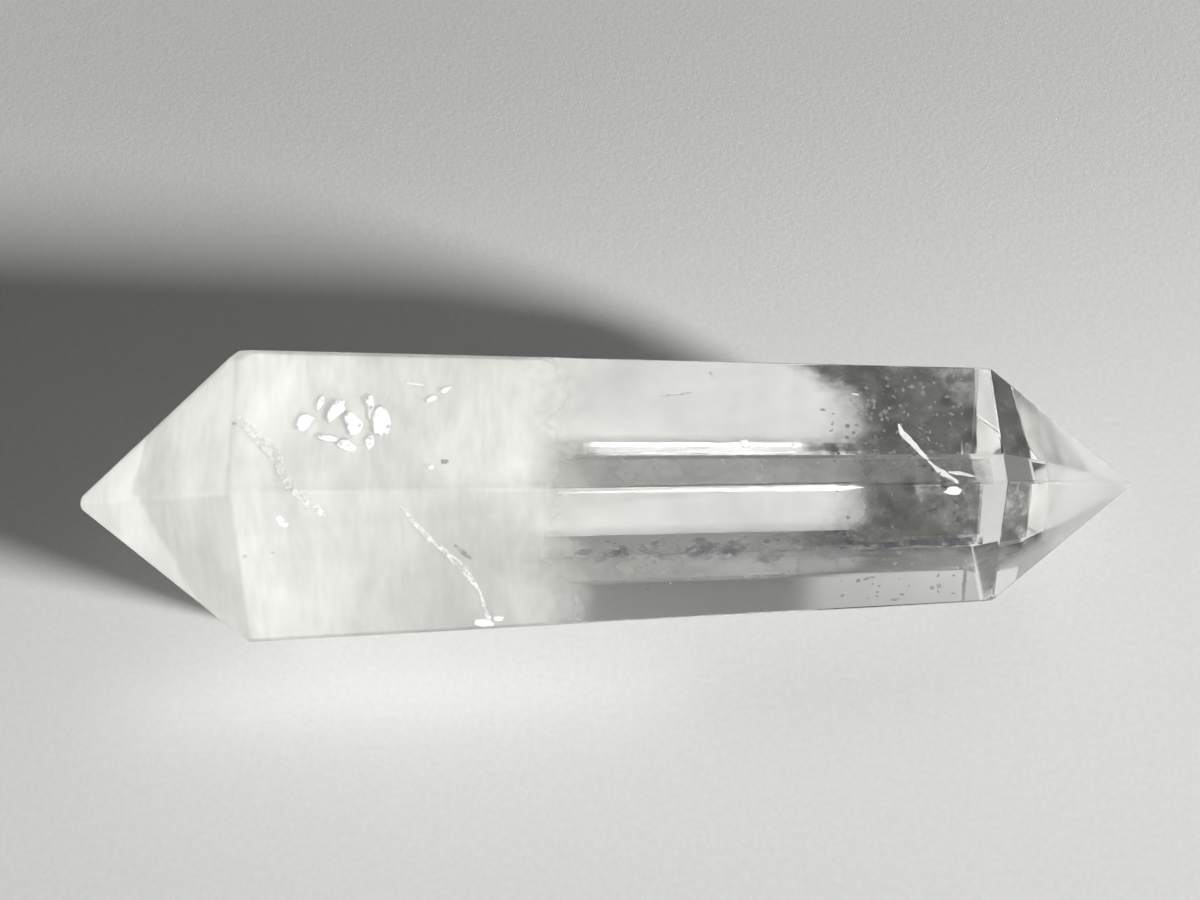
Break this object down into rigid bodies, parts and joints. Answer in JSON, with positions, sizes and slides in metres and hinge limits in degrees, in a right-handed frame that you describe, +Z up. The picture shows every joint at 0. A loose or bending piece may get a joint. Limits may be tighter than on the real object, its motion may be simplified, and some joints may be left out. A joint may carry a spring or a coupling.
{
  "type": "double terminated quartz point",
  "caption": "Clear natural quartz crystal, a tapered hexagonal prism lying on one face, with a faceted point at each end and a cloudy veiled half.",
  "frame": {"origin": "below the middle of the crystal, on the surface that it rests on", "axes": "+X along the crystal towards its small clear point, +Z up, -Y towards the front"},
  "size_m": [0.0644, 0.019, 0.0172],
  "materials": {
    "quartz": "polished clear quartz with milky veils, flat glossy faces and fine wear along the edges"
  },
  "bodies": {
    "root": {"quartz_point": "quartz"}
  },
  "joints": []
}
